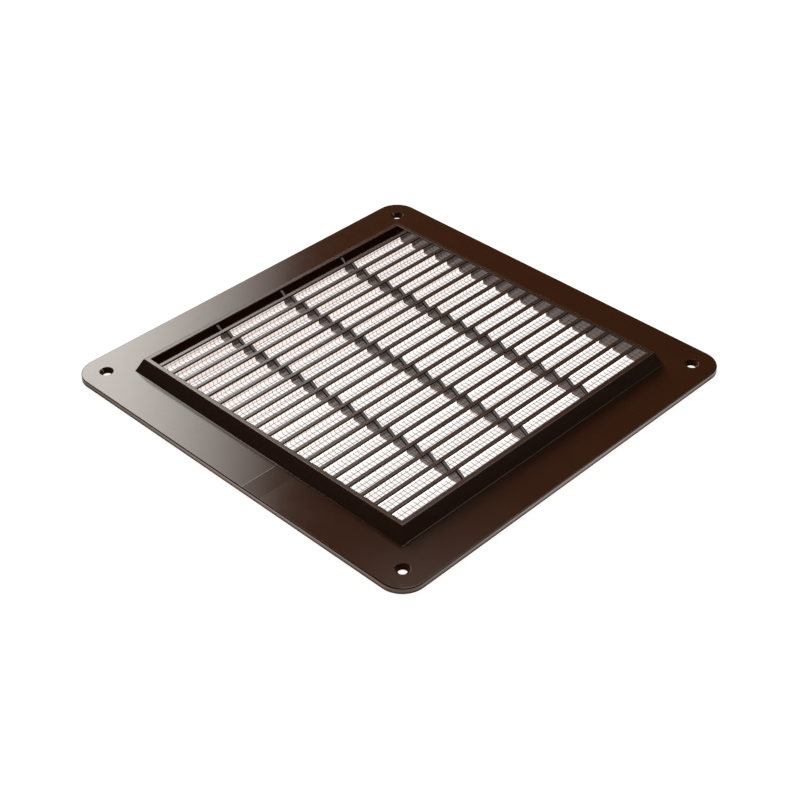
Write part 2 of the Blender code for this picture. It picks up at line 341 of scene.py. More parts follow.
class NodeBuilder:
    """Adds shader nodes to a material or world and links them."""

    def __init__(self, tree: bpy.types.NodeTree) -> None:
        """Keeps the tree that the nodes go into."""
        self.tree = tree

    def add(self, kind: str, **settings: object) -> bpy.types.Node:
        """Adds a node and sets its properties.

        Args:
            kind: Blender's name of the node type.
            **settings: Properties of the node.

        Returns:
            The new node.
        """
        node = self.tree.nodes.new(kind)
        for key, value in settings.items():
            setattr(node, key, value)
        return node

    def feed(self, node: bpy.types.Node, **inputs: object) -> bpy.types.Node:
        """Sets or links inputs by name, with underscores for spaces.

        Args:
            node: The node whose inputs are fed.
            **inputs: A socket to link or a value to set, by input name.

        Returns:
            The same node.
        """
        for key, value in inputs.items():
            socket = node.inputs[key.replace("_", " ")]
            if isinstance(value, Socket):
                self.tree.links.new(value, socket)
            else:
                socket.default_value = value
        return node

    def math(self, operation: str, *values: object) -> Socket:
        """Adds a Math node and returns its result.

        Args:
            operation: Blender's name of the operation.
            *values: Sockets to link or numbers to set, in order.

        Returns:
            The node's output socket.
        """
        node = self.add("ShaderNodeMath", operation=operation)
        for socket, value in zip(node.inputs, values):
            if isinstance(value, Socket):
                self.tree.links.new(value, socket)
            else:
                socket.default_value = value
        return node.outputs[0]

    def ramp(self, value: Socket, low: float, high: float, smooth: bool = False) -> Socket:
        """Maps a value from the range low to high onto 0 to 1, clamped.

        Args:
            value: The socket to map.
            low: Value that gives 0.
            high: Value that gives 1.
            smooth: True for a smooth step in place of a straight line.

        Returns:
            The mapped socket.
        """
        node = self.add("ShaderNodeMapRange", interpolation_type="SMOOTHSTEP" if smooth else "LINEAR")
        self.tree.links.new(value, node.inputs["Value"])
        node.inputs["From Min"].default_value = low
        node.inputs["From Max"].default_value = high
        return node.outputs[0]

    def product(self, *values: object) -> Socket:
        """Multiplies sockets and numbers."""
        return reduce(lambda first, second: self.math("MULTIPLY", first, second), values)

    def axes(self, place: Socket) -> list[Socket]:
        """Splits a vector into X, Y and Z."""
        return list(self.feed(self.add("ShaderNodeSeparateXYZ"), Vector=place).outputs)

    def noise(self, place: Socket, size: float, detail: float) -> Socket:
        """Adds noise whose features are about as large as size, and returns it as 0 to 1."""
        noise = self.feed(self.add("ShaderNodeTexNoise"), Vector=place, Scale=1.0 / size, Detail=detail)
        return noise.outputs["Fac"]

    def tint(self, share: Socket, first: tuple, second: tuple) -> Socket:
        """Blends from the first colour to the second as share goes from 0 to 1."""
        mix = self.add("ShaderNodeMix", data_type="RGBA")
        self.tree.links.new(share, mix.inputs["Factor"])
        mix.inputs["A"].default_value = (*first, 1.0)
        mix.inputs["B"].default_value = (*second, 1.0)
        return mix.outputs["Result"]

    def blend(self, share: Socket, first: bpy.types.Node, second: bpy.types.Node) -> Socket:
        """Blends from the first shader to the second as share goes from 0 to 1."""
        mix = self.add("ShaderNodeMixShader")
        for socket, source in zip(mix.inputs, (share, first.outputs[0], second.outputs[0])):
            self.tree.links.new(source, socket)
        return mix.outputs[0]


def new_material(name: str) -> tuple[bpy.types.Material, NodeBuilder]:
    """Makes a material and the builder of its nodes."""
    material = bpy.data.materials.new(name)
    material.use_nodes = True
    return material, NodeBuilder(material.node_tree)


@dataclass(frozen=True)
class MouldedPlastic:
    """Glossy brown injection-moulded plastic with faint flow waves and weld lines.

    The waves and the weld lines are slight tilts of the surface. They show only where a
    light's reflection crosses them. The raised front of the grille is duller than the rest.
    """

    name: str = "moulded_brown_plastic"
    dark: tuple[float, float, float] = (0.038, 0.0120, 0.0045)
    warm: tuple[float, float, float] = (0.046, 0.0152, 0.0060)
    roughness: float = 0.10
    raised_roughness: float = 0.20
    roughness_spread: float = 0.03
    raised_from: float = 7.9 * MM
    raised_to: float = 8.6 * MM
    streak_size: float = 13.0 * MM
    streak_detail: float = 3.0
    cloud_size: float = 8.667 * MM
    cloud_detail: float = 4.0
    wave_size: float = 26.0 * MM
    wave_height: float = 0.012 * MM
    wave_detail: float = 2.0
    grain_size: float = 0.55 * MM
    grain_height: float = 0.0003 * MM
    weld_y: float = -11.0 * MM
    weld_rise: float = 10.0 * MM
    weld_fall: float = 60.0 * MM
    weld_height: float = 0.05 * MM
    weld_ridge: float = 0.010 * MM
    weld_width: float = 0.35 * MM
    weld_start: float = 79.6 * MM
    weld_full: float = 80.2 * MM
    ior: float = 1.46

    def build(self) -> bpy.types.Material:
        """Makes the material.

        Returns:
            The finished material.
        """
        material, nodes = new_material(self.name)
        shader = material.node_tree.nodes["Principled BSDF"]
        place = nodes.add("ShaderNodeTexCoord").outputs["Object"]
        streaks = nodes.noise(place, self.streak_size, self.streak_detail)
        raised = nodes.ramp(nodes.axes(place)[2], self.raised_from, self.raised_to)
        rough = nodes.math("MULTIPLY_ADD", raised, self.raised_roughness - self.roughness, self.roughness)
        cloud = nodes.noise(place, self.cloud_size, self.cloud_detail)
        rough = nodes.math("MULTIPLY_ADD", cloud, self.roughness_spread, rough)
        rough = nodes.math("SUBTRACT", rough, self.roughness_spread / 2)
        waves = nodes.product(nodes.noise(place, self.wave_size, self.wave_detail), self.wave_height)
        grain = nodes.product(nodes.noise(place, self.grain_size, self.wave_detail), self.grain_height)
        height = nodes.math("ADD", nodes.math("ADD", waves, grain), self._weld(nodes, place))
        bump = nodes.feed(nodes.add("ShaderNodeBump"), Height=height, Distance=1.0, Strength=1.0)
        colour = nodes.tint(streaks, self.dark, self.warm)
        nodes.feed(shader, Base_Color=colour, Roughness=rough, Normal=bump.outputs["Normal"])
        shader.inputs["IOR"].default_value = self.ior
        return material

    def _weld(self, nodes: NodeBuilder, place: Socket) -> Socket:
        """Height of the weld lines: a low crest across each side flange, and its slow run-out.

        Args:
            nodes: The material's node builder.
            place: Object coordinates.

        Returns:
            The height in metres.
        """
        x, y, _ = nodes.axes(place)
        beyond_rim = nodes.ramp(nodes.math("ABSOLUTE", x), self.weld_start, self.weld_full)
        rise = nodes.ramp(y, self.weld_y - self.weld_rise, self.weld_y)
        fall = nodes.ramp(y, self.weld_y + self.weld_fall, self.weld_y)
        aside = nodes.math("ABSOLUTE", nodes.math("SUBTRACT", y, self.weld_y))
        ridge = nodes.product(nodes.ramp(aside, self.weld_width, 0.0, smooth=True), self.weld_ridge)
        crest = nodes.product(rise, fall, self.weld_height)
        return nodes.product(nodes.math("ADD", crest, ridge), beyond_rim)


@dataclass(frozen=True)
class NetYarn:
    """Dark coated yarn with a slight sheen and uneven coating."""

    dark: tuple[float, float, float] = (0.050, 0.025, 0.018)
    worn: tuple[float, float, float] = (0.120, 0.062, 0.048)
    roughness: float = 0.45
    fleck_size: float = 0.8 * MM
    lump_size: float = 0.12 * MM
    lump_height: float = 0.004 * MM
    detail: float = 2.0

    def build(self) -> bpy.types.Material:
        """Makes the material.

        Returns:
            The finished material.
        """
        material, nodes = new_material("coated_net_yarn")
        shader = material.node_tree.nodes["Principled BSDF"]
        place = nodes.add("ShaderNodeTexCoord").outputs["Object"]
        colour = nodes.tint(nodes.noise(place, self.fleck_size, self.detail), self.dark, self.worn)
        lumps = nodes.noise(place, self.lump_size, self.detail)
        bump = nodes.feed(nodes.add("ShaderNodeBump"), Height=lumps, Distance=self.lump_height)
        nodes.feed(shader, Base_Color=colour, Normal=bump.outputs["Normal"])
        shader.inputs["Roughness"].default_value = self.roughness
        return material


def dress(piece: bpy.types.Object, material: bpy.types.Material, node: str) -> None:
    """Gives a piece its material and its place in the table of pieces.

    Args:
        piece: The piece, in its place.
        material: The finish that it shows.
        node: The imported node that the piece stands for.
    """
    piece.data.materials.append(material)
    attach(piece, "root")
    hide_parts(node)
    log.info("%s: %d faces", piece.name, len(piece.data.polygons))


@dataclass
class FrameRing:
    """Flange, skirt and rim: one profile carried round the square, with four screw holes."""

    sizes: GrilleSizes
    flange_edge_round: float = 0.5 * MM
    skirt_edge_round: float = 0.12 * MM
    foot_fillet: float = 0.3 * MM
    rim_outer_round: float = 0.8 * MM
    rim_inner_round: float = 0.4 * MM
    inner_edge_round: float = 0.15 * MM
    sharp_corner: float = 0.12 * MM
    fillet_segments: int = 5
    support: float = 0.03 * MM
    corner_steps: int = 16
    side_steps: int = 12
    hole_radius: float = 1.85 * MM
    sink_radius: float = 3.1 * MM
    lip_round: float = 0.12 * MM
    lip_steps: int = 3
    hole_facets: int = 64
    cut_margin: float = 2.0 * MM
    same_height: float = 0.001 * MM

    def profile(self) -> np.ndarray:
        """Outline of the frame's wall as half width and height, filleted at every corner.

        Returns:
            Points from the skirt's foot over the flange and the rim and back behind them,
            shape (n, 2).
        """
        s = self.sizes
        half = s.side / 2
        foot = half - s.land
        drafted = s.opening_half + (s.rim_top - s.pocket_floor) * math.tan(s.opening_draft)
        pocket = s.net_seat_half + s.net_border + s.net_edge_gap
        corners = np.array([
            (half, 0.0),
            (half, s.flange_top),
            (foot, s.flange_top),
            (s.rim_outer_half, s.rim_top),
            (s.opening_half, s.rim_top),
            (drafted, s.pocket_floor),
            (pocket, s.pocket_floor),
            (pocket, s.skirt_depth),
            (half - s.skirt_wall, s.skirt_depth),
            (half - s.skirt_wall, 0.0),
        ])
        radii = np.array([
            self.skirt_edge_round, self.flange_edge_round, self.foot_fillet, self.rim_outer_round,
            self.rim_inner_round, self.inner_edge_round, self.inner_edge_round, self.inner_edge_round,
            self.inner_edge_round, self.skirt_edge_round,
        ])
        return rounded_profile(corners, radii, self.fillet_segments, self.support)

    def ring(self) -> np.ndarray:
        """Carries the profile round the square.

        At u the ring stands at (half - r) S(u) + r D(u), where r is the corner radius at
        that point of the profile. S runs from corner to corner of a unit square and D is
        the direction outwards, which turns only at the corners.

        Returns:
            Grid points, shape (1, nu, nv, 3).
        """
        s = self.sizes
        turn = np.linspace(0.0, 1.0, self.corner_steps + 1)
        along = np.linspace(0.0, 1.0, self.side_steps + 1)[1:-1, None]
        square, angles = [], []
        for k in range(4):
            square += [np.repeat(SQUARE[k:k + 1], len(turn), axis=0)]
            square += [SQUARE[k] * (1 - along) + SQUARE[(k + 1) % 4] * along]
            angles += [(k + turn) * math.pi / 2, np.full(len(along), (k + 1) * math.pi / 2)]
        square = np.concatenate(square)
        angle = np.concatenate(angles)
        outward = np.stack([np.cos(angle), np.sin(angle)], axis=1)
        half, height = self.profile().T
        radius = np.maximum(self.sharp_corner, s.corner_radius - (s.side / 2 - half))
        plan = square[:, None] * (half - radius)[None, :, None] + outward[:, None] * radius[None, :, None]
        z = np.broadcast_to(height, plan.shape[:2])[..., None]
        return np.concatenate([plan, z], axis=2)[None]

    def hole_cutter(self) -> bpy.types.Object:
        """Makes the four screw holes as one cutter: a bore, a cone of 90 degrees and a lip.

        Returns:
            The cutter object.
        """
        s = self.sizes
        slope = math.pi / 4
        cone_end = s.flange_top - (self.sink_radius - self.hole_radius) / math.tan(slope)
        turn = np.linspace(slope, 0.0, self.lip_steps + 1)
        reach = self.sink_radius + self.lip_round * math.tan(slope / 2)
        lip = np.stack([
            reach - self.lip_round * np.sin(turn),
            s.flange_top - self.lip_round * (1 - np.cos(turn)),
        ], axis=1)
        profile = np.concatenate([
            [(self.hole_radius, -self.cut_margin), (self.hole_radius, cone_end)],
            lip,
            [(reach, s.flange_top + self.cut_margin)],
        ])
        return revolve("screw_hole_cutter", profile, SQUARE * s.hole_place, self.hole_facets, Edge.MOULDED)

    def build(self, material: bpy.types.Material) -> bpy.types.Object:
        """Makes the frame, cuts its holes and dresses it.

        Args:
            material: The plastic.

        Returns:
            The finished piece.
        """
        piece = skin("flange_and_rim", self.ring(), ring=True, edge=Edge.MOULDED)
        cutter = self.hole_cutter()
        cut = piece.modifiers.new("screw_holes", "BOOLEAN")
        cut.operation = "DIFFERENCE"
        cut.solver = "EXACT"
        cut.object = cutter
        evaluated = piece.evaluated_get(bpy.context.evaluated_depsgraph_get())
        mesh = bpy.data.meshes.new_from_object(evaluated)
        piece.modifiers.clear()
        piece.data = mesh
        bpy.data.objects.remove(cutter)
        finish_mesh(mesh, Edge.MOULDED)
        self.keep_land_flat(mesh)
        dress(piece, material, "grille_body")
        return piece

    def keep_land_flat(self, mesh: bpy.types.Mesh) -> None:
        """Marks the circles where the holes' lips leave the land as sharp.

        Without them the land's large faces would shade as if they bent towards the holes.

        Args:
            mesh: The cut frame.
        """
        places = np.empty(len(mesh.vertices) * 3)
        mesh.vertices.foreach_get("co", places)
        places = places.reshape(-1, 3)
        ends = np.empty(len(mesh.edges) * 2, dtype=int)
        mesh.edges.foreach_get("vertices", ends)
        reach = np.hypot(*(np.abs(places[:, :2]) - self.sizes.hole_place).T)
        on_land = np.abs(places[:, 2] - self.sizes.flange_top) < self.same_height
        on_lip = on_land & (reach < self.sink_radius + self.lip_round)
        sharp = np.empty(len(mesh.edges), dtype=bool)
        mesh.edges.foreach_get("use_edge_sharp", sharp)
        mesh.edges.foreach_set("use_edge_sharp", sharp | on_lip[ends.reshape(-1, 2)].all(axis=1))


@dataclass
class LouvreSlats:
    """The fixed rain louvres: slats whose front edges are lower than their backs."""

    sizes: GrilleSizes
    top_edge_round: float = 0.10 * MM
    nose_round: float = 0.50 * MM
    front_tilt: float = 1.8 * DEGREE
    back_edge_round: float = 0.15 * MM
    fillet_segments: int = 6
    support: float = 0.02 * MM
    length_steps: int = 24

    def profile(self) -> np.ndarray:
        """Outline of one slat as height on the wall and distance from the wall.

        The flat front leans back a little and ends below in the nose fillet, which turns
        into the underside. The underside leans back and up, and the upper face leans less.

        Returns:
            Points relative to the slat's upper front edge, shape (n, 2).
        """
        s = self.sizes
        sunk = s.nose_drop * math.tan(self.front_tilt)
        corners = np.array([
            (0.0, -sunk),
            (-s.nose_drop, 0.0),
            (s.slat_heel, -s.slat_depth),
            (s.slat_heel + s.slat_tail, -s.slat_depth),
        ])
        radii = np.array([self.top_edge_round, self.nose_round, self.back_edge_round, self.back_edge_round])
        return rounded_profile(corners, radii, self.fillet_segments, self.support)

    def build(self, material: bpy.types.Material) -> bpy.types.Object:
        """Draws every slat out along X between the rim's side walls.

        Args:
            material: The plastic.

        Returns:
            The finished piece.
        """
        s = self.sizes
        up, out = self.profile().T
        x = np.linspace(-s.span, s.span, self.length_steps + 1)[None, :, None]
        edges = s.slat_edges()[:, None, None]
        shape = (s.slat_count, self.length_steps + 1, len(up))
        grid = np.stack([
            np.broadcast_to(x, shape),
            np.broadcast_to(edges + up, shape),
            np.broadcast_to(s.louvre_front + out, shape),
        ], axis=-1)
        piece = skin("louvre_slats", grid, ring=False, edge=Edge.MOULDED)
        dress(piece, material, "grille_body")
        return piece


@dataclass
class CrossRibs:
    """The webs that tie the slats together, with a sawtooth front edge square to them."""

    sizes: GrilleSizes
    count: int = 3
    width: float = 2.1 * MM
    draft: float = 1.0 * DEGREE
    front_round: float = 0.45 * MM
    round_steps: int = 5
    seat_fillet: float = 0.45 * MM
    seat_steps: int = 5

    def front_line(self) -> np.ndarray:
        """Front edge of a rib, from the lower wall up, as (y, z).

        In each gap the edge starts low on the lower slat's upper face, curves out of it
        with a small fillet, and rises square to the slats to the upper slat's nose. Behind
        each nose it drops inside the slat to the next gap. Above the last slat it rises
        in the same way and ends at the wall.

        Returns:
            Points with y rising, shape (n, 2).
        """
        s = self.sizes
        rise = math.tan(s.slat_lean)
        fall = s.slat_depth / (s.slat_heel + s.slat_tail)
        tip = s.louvre_front - s.slat_nose_round
        gap = s.slat_pitch - s.slat_nose
        meet = (s.slat_nose_round + gap * rise) / (fall + rise)
        valley = np.array([[meet, s.louvre_front - fall * meet]])
        towards_nose = np.array([[-1.0, fall]]) / math.hypot(1.0, fall)
        towards_gap = np.array([[1.0, rise]]) / math.hypot(1.0, rise)
        arcs, _ = fillets(valley, towards_nose, towards_gap, np.array([self.seat_fillet]), self.seat_steps)
        crest = np.array([[gap, tip], [gap + s.slat_nose / 2, tip]])
        tooth = np.concatenate([arcs[0], crest])
        starts = np.stack([s.slat_edges(), np.zeros(s.slat_count)], axis=1)
        low = tip - gap * rise
        top = tip - (gap - s.top_gap) * rise
        return np.concatenate([
            [(-s.span, low), (-s.opening_half, low)],
            crest - (s.opening_half, 0.0),
            (tooth + starts[:-1, None]).reshape(-1, 2),
            arcs[0] + starts[-1],
            [(s.opening_half, top), (s.span, top)],
        ])

    def build(self, material: bpy.types.Material) -> bpy.types.Object:
        """Carries the rib's upright section along its front line, once for each rib.

        At (u, v) the section stands at y(u). Its half width grows with height by the
        draft, and its two front corners are arcs below the front line's height.

        Args:
            material: The plastic.

        Returns:
            The finished piece.
        """
        s = self.sizes
        line = self.front_line()
        y, front = line[:, :1], line[:, 1:]
        turn = np.linspace(0.0, math.pi / 2, self.round_steps + 1)[None]
        half_front = self.width / 2 - (s.louvre_front - front) * math.tan(self.draft)
        half_back = self.width / 2 - s.slat_depth * math.tan(self.draft)
        arc_x = half_front - self.front_round * (1 - np.cos(turn))
        arc_z = front - self.front_round * (1 - np.sin(turn))
        back_x = np.full_like(front, half_back)
        back_z = np.full_like(front, s.louvre_back)
        across = np.concatenate([back_x, arc_x, -arc_x[:, ::-1], -back_x], axis=1)
        height = np.concatenate([back_z, arc_z, arc_z[:, ::-1], back_z], axis=1)
        pitch = (2 * s.opening_half + s.rim_band) / (self.count + 1)
        middles = (np.arange(self.count) - (self.count - 1) / 2)[:, None, None] * pitch
        grid = np.stack([
            middles + across,
            np.broadcast_to(y, (self.count, *across.shape)),
            np.broadcast_to(height, (self.count, *across.shape)),
        ], axis=-1)
        piece = skin("cross_ribs", grid, ring=False, edge=Edge.MOULDED)
        dress(piece, material, "grille_body")
        return piece


@dataclass
class HeatStakes:
    """Pins out of the net pocket, melted into low domes over the net's border."""

    sizes: GrilleSizes
    per_side: int = 4
    pin_radius: float = 0.7 * MM
    head_radius: float = 1.35 * MM
    root: float = 1.0 * MM
    dome_share: float = 0.8
    dome_middle: float = 0.05
    dome_steps: int = 6
    facets: int = 40

    def build(self, material: bpy.types.Material) -> bpy.types.Object:
        """Turns the stakes' profile at even places round the border.

        The head's back is a flat dome: its height falls with the fourth power of the
        distance from the axis.

        Args:
            material: The plastic.

        Returns:
            The finished piece.
        """
        s = self.sizes
        line = s.net_seat_half + s.net_border / 2
        share = np.linspace(self.dome_middle, 1.0, self.dome_steps + 1)
        radius = share * self.head_radius
        dome = s.stake_recess + s.stake_head * self.dome_share * share ** 4
        top = s.stake_recess + s.stake_head
        profile = np.concatenate([
            np.stack([radius, dome], axis=1),
            [(self.head_radius, top), (self.pin_radius, top), (self.pin_radius, s.pocket_floor + self.root)],
        ])
        spacing = 2 * line / self.per_side
        along = (np.arange(self.per_side) + 0.5) * spacing - line
        centres = np.concatenate([
            np.stack([along, np.full_like(along, side)], axis=1)[:, ::order]
            for side in (-line, line) for order in (1, -1)
        ])
        piece = revolve("heat_stakes", profile, centres, self.facets, Edge.MOULDED)
        dress(piece, material, "grille_body")
        return piece


@dataclass
class InsectNet:
    """Plain-woven net in a pressed flat border.

    Each thread passes over one crossing thread and under the next, and wanders a little
    sideways, as a net does that is pulled flat by hand.
    """

    sizes: GrilleSizes
    pitch_x: float = 2.22 * MM
    pitch_y: float = 2.37 * MM
    thread_radius: float = 0.096 * MM
    thread_root: float = 0.475 * MM
    crossing_lift: float = 1.06
    wander: float = 0.05 * MM
    wander_least: float = 0.3
    slow_wave: float = 47.0 * MM
    quick_wave: float = 19.0 * MM
    quick_share: float = 0.6
    held_margin: float = 10.0 * MM
    border_round: float = 0.08 * MM
    border_support: float = 0.01 * MM
    border_segments: int = 3
    steps_per_mesh: int = 4
    thread_sides: int = 6
    seed: int = 11

    @property
    def middle(self) -> float:
        """Height of the net's middle plane above the wall."""
        return self.sizes.net_back + self.sizes.net_thickness / 2

    def threads(self, name: str, pitch: float, crossing: float, along_x: bool) -> bpy.types.Object:
        """Weaves one set of parallel threads.

        Along its length t, thread k rises by A cos(pi t / crossing + pi k), with A just
        over the thread's radius, and moves sideways by a sum of two slow sine waves with
        seeded phases, which fade out near the border. The two sets have opposite signs, so
        they pass each other at every crossing. The last thread stays a quarter of a mesh
        or more off the border.

        Args:
            name: The piece's name.
            pitch: Distance from thread to thread.
            crossing: Distance from one crossing thread to the next.
            along_x: True for threads along X.

        Returns:
            The new object.
        """
        s = self.sizes
        reach = s.net_seat_half + self.thread_root
        count = int((s.net_seat_half - pitch / 4) / pitch)
        k = np.arange(-count, count + 1)[:, None]
        steps = int(2 * reach / crossing) * self.steps_per_mesh
        t = np.linspace(-reach, reach, steps + 1)[None]
        random = np.random.default_rng(self.seed + along_x)
        phase = random.uniform(0.0, 2 * math.pi, (2, len(k), 1))
        size = random.uniform(self.wander_least, 1.0, (2, len(k), 1)) * self.wander
        hold = np.clip((s.net_seat_half - np.abs(t)) / self.held_margin, 0.0, 1.0)
        slow = size[0] * np.sin(2 * math.pi * t / self.slow_wave + phase[0])
        quick = size[1] * self.quick_share * np.sin(2 * math.pi * t / self.quick_wave + phase[1])
        side = k * pitch + (slow + quick) * hold
        sign = -1.0 if along_x else 1.0
        lift = sign * self.thread_radius * self.crossing_lift * np.cos(math.pi * t / crossing + math.pi * k)
        turn = np.linspace(0.0, 2 * math.pi, self.thread_sides, endpoint=False)
        across = side[..., None] + self.thread_radius * np.cos(turn)
        height = self.middle + lift[..., None] + self.thread_radius * np.sin(turn)
        length = np.broadcast_to(t[..., None], across.shape)
        axes = [length, across, height] if along_x else [across, length, height]
        return skin(name, np.stack(axes, axis=-1), ring=False, edge=Edge.ROUND)

    def border(self) -> bpy.types.Object:
        """Makes the flat border, a rounded strip carried round the square.

        Returns:
            The new object.
        """
        s = self.sizes
        low, high = s.net_back, s.net_back + s.net_thickness
        inner, outer = s.net_seat_half, s.net_seat_half + s.net_border
        corners = np.array([(outer, low), (outer, high), (inner, high), (inner, low)])
        radii = np.full(4, self.border_round)
        half, height = rounded_profile(corners, radii, self.border_segments, self.border_support).T
        plan = SQUARE[:, None] * half[None, :, None]
        z = np.broadcast_to(height, plan.shape[:2])[..., None]
        return skin("net_border", np.concatenate([plan, z], axis=2)[None], ring=True, edge=Edge.MOULDED)

    def build(self, material: bpy.types.Material) -> list[bpy.types.Object]:
        """Makes and dresses the threads and the border.

        Args:
            material: The yarn.

        Returns:
            The finished pieces.
        """
        pieces = [
            self.threads("net_warp_threads", self.pitch_x, self.pitch_y, along_x=False),
            self.threads("net_weft_threads", self.pitch_y, self.pitch_x, along_x=True),
            self.border(),
        ]
        for piece in pieces:
            dress(piece, material, "insect_net")
        return pieces


@dataclass
class PhotoCamera:
    """The camera, at the photograph's viewing angle."""

    azimuth: float = -45.17 * DEGREE
    elevation: float = 37.39 * DEGREE
    roll: float = -0.654 * DEGREE
    distance: float = 702.7 * MM
    target: tuple[float, float, float] = (-13.82 * MM, -13.92 * MM, 0.0)
    lens_mm: float = 74.82
    sensor_mm: float = 36.0
    nearest: float = 10.0 * MM

    def build(self) -> bpy.types.Object:
        """Makes the camera and makes it the scene's own.

        Returns:
            The camera object.
        """
        a, e = self.azimuth, self.elevation
        back = np.array([math.sin(a) * math.cos(e), -math.cos(a) * math.cos(e), math.sin(e)])
        right = np.cross([0.0, 0.0, 1.0], back)
        right /= np.linalg.norm(right)
        up = np.cross(back, right)
        c, s = math.cos(self.roll), math.sin(self.roll)
        data = bpy.data.cameras.new("photo_camera")
        data.sensor_width = self.sensor_mm
        data.lens = self.lens_mm
        data.clip_start = self.nearest
        camera = add_object("photo_camera", data)
        stand(camera, c * right + s * up, back, np.array(self.target) + back * self.distance)
        bpy.context.scene.camera = camera
        return camera


@dataclass(frozen=True)
class SoftLight:
    """A square soft light that faces the middle of the object."""

    name: str
    glow: float
    size: float
    place: tuple[float, float, float]
    mirrored: bool

    def build(self) -> bpy.types.Object:
        """Hangs the lamp, whose glow is the brightness of its face, with 1 as white.

        Returns:
            The lamp object.
        """
        data = bpy.data.lights.new(self.name, "AREA")
        data.shape = "SQUARE"
        data.size = self.size
        data.energy = self.glow * math.pi * self.size ** 2
        lamp = add_object(self.name, data)
        out = np.array(self.place) / np.linalg.norm(self.place)
        right = np.cross([0.0, 0.0, 1.0], out)
        stand(lamp, right / np.linalg.norm(right), out, np.array(self.place))
        lamp.visible_glossy = self.mirrored
        return lamp


